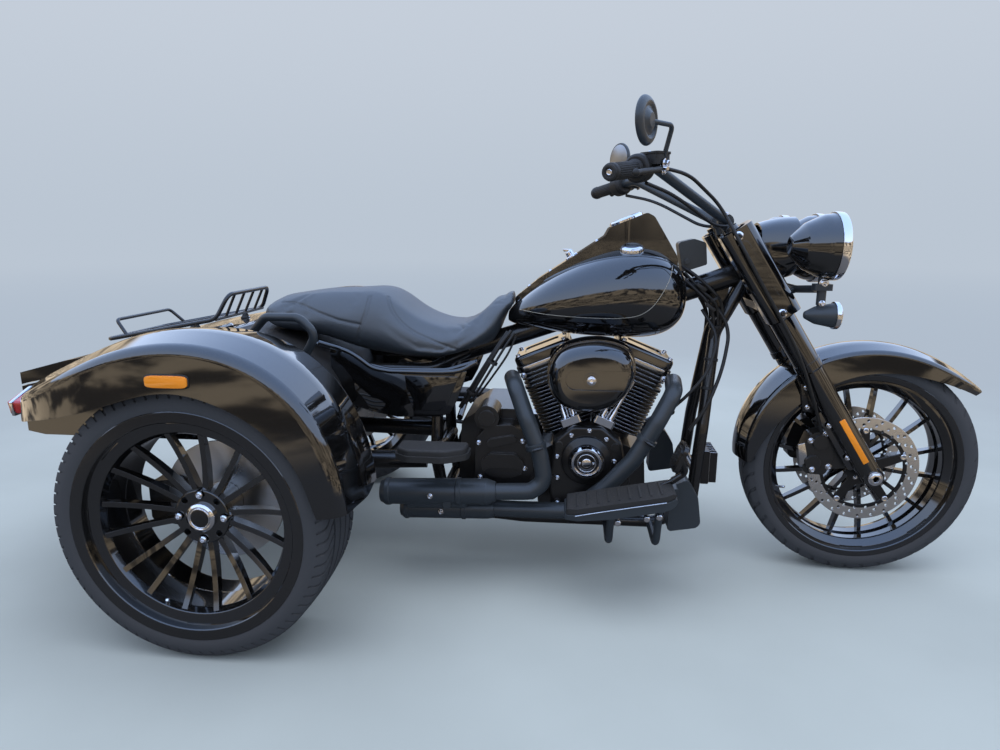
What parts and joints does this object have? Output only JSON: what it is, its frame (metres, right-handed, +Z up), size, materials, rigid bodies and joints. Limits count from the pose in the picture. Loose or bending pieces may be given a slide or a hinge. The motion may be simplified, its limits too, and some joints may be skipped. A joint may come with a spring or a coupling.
{
  "type": "motorized trike",
  "caption": "Black three-wheeled cruiser motorcycle with a V-twin engine, wide rear fenders, a lidded trunk with a rack, and a two-up seat",
  "frame": {"origin": "on the ground, on the centreline, at the middle of the overall length", "axes": "+X forward, +Y to the rider's left, +Z up"},
  "size_m": [2.6698, 1.3906, 1.2599],
  "materials": {
    "frame_black": "semi-gloss black paint",
    "engine_black": "wrinkle and gloss black powder coat",
    "fin_black": "black coat with machined fin edges",
    "gloss_black": "deep gloss black paint under clear coat",
    "satin_black": "satin black ceramic coat",
    "chrome": "polished chrome",
    "seat_leather": "black grained seat vinyl",
    "moulded_black": "moulded black plastic",
    "lamp_red": "clear red lamp plastic",
    "board_rubber": "ribbed black rubber pad",
    "caliper_black": "black anodised",
    "rim_black": "gloss black cast rim",
    "tyre_rubber": "road tyre rubber",
    "disc_steel": "ground brake disc",
    "line_black": "black sheathed hoses and looms",
    "lamp_amber": "clear amber marker plastic",
    "lamp_clear": "clear lamp glass over a bright bowl",
    "mirror_glass": "silvered mirror glass",
    "polished_metal": "bare machined and polished alloy"
  },
  "bodies": {
    "chassis": {"frame": "frame_black", "rear_axle": "frame_black", "crankcase": "engine_black", "cylinder_rear": "fin_black", "cylinder_front": "fin_black", "rocker_covers": "gloss_black", "cam_cover": "engine_black", "pushrods": "chrome", "gearbox": "engine_black", "primary_cover": "gloss_black", "air_cleaner": "gloss_black", "exhaust_rear": "satin_black", "exhaust_front": "satin_black", "fuel_tank": "gloss_black", "tank_console": "gloss_black", "seat": "seat_leather", "side_covers": "gloss_black", "seat_trim": "gloss_black", "front_valance": "moulded_black", "trunk_body": "gloss_black", "rear_fender_right": "gloss_black", "rear_fender_left": "gloss_black", "tail_lamps": "lamp_red", "plate_bracket": "moulded_black", "grab_handles": "satin_black", "rider_boards": "satin_black", "board_pads": "board_rubber", "board_mounts": "frame_black", "foot_controls": "frame_black", "drive_belt": "board_rubber", "neck_box": "satin_black", "regulator": "fin_black", "horn_cover": "gloss_black", "frame_lines": "line_black"},
    "steering": {"fork": "gloss_black", "front_axle": "chrome", "fork_covers": "gloss_black", "lamps": "gloss_black", "lamp_bar": "satin_black", "handlebar": "satin_black", "hand_controls": "moulded_black", "mirrors": "satin_black", "front_fender": "gloss_black", "front_calipers": "caliper_black", "control_lines": "line_black"},
    "front_wheel": {"front_rim": "rim_black", "front_tyre": "tyre_rubber", "front_discs": "disc_steel"},
    "rear_wheel_right": {"rear_rim_right": "rim_black", "rear_tyre_right": "tyre_rubber", "rear_hub_cap_right": "chrome", "rear_disc_right": "disc_steel"},
    "rear_wheel_left": {"rear_rim_left": "rim_black", "rear_tyre_left": "tyre_rubber", "rear_hub_cap_left": "chrome", "rear_disc_left": "disc_steel"},
    "lid": {"trunk_lid": "gloss_black", "luggage_rack": "frame_black"},
    "board_right": {"passenger_board_right": "board_rubber"},
    "board_left": {"passenger_board_left": "board_rubber"}
  },
  "joints": [
    {"name": "steering", "type": "hinge", "parent": "chassis", "child": "steering", "pos_m": [0.69167, 0, 0.87], "axis": [-0.4384, 0, 0.8988], "range_deg": [-32, 32]},
    {"name": "front_wheel", "type": "hinge", "parent": "steering", "child": "front_wheel", "pos_m": [1.016, 0, 0.319], "axis": [0, 1, 0], "continuous": true},
    {"name": "rear_wheel_right", "type": "hinge", "parent": "chassis", "child": "rear_wheel_right", "pos_m": [-0.654, -0.563, 0.325], "axis": [0, 1, 0], "continuous": true},
    {"name": "rear_wheel_left", "type": "hinge", "parent": "chassis", "child": "rear_wheel_left", "pos_m": [-0.654, 0.563, 0.325], "axis": [0, 1, 0], "continuous": true},
    {"name": "lid", "type": "hinge", "parent": "chassis", "child": "lid", "pos_m": [-0.756, 0, 0.712], "axis": [0, 1, 0], "range_deg": [0, 45]},
    {"name": "board_right", "type": "hinge", "parent": "chassis", "child": "board_right", "pos_m": [-0.168, -0.262, 0.404], "axis": [-1, 0, 0], "range_deg": [0, 80]},
    {"name": "board_left", "type": "hinge", "parent": "chassis", "child": "board_left", "pos_m": [-0.168, 0.262, 0.404], "axis": [1, 0, 0], "range_deg": [0, 80]}
  ]
}
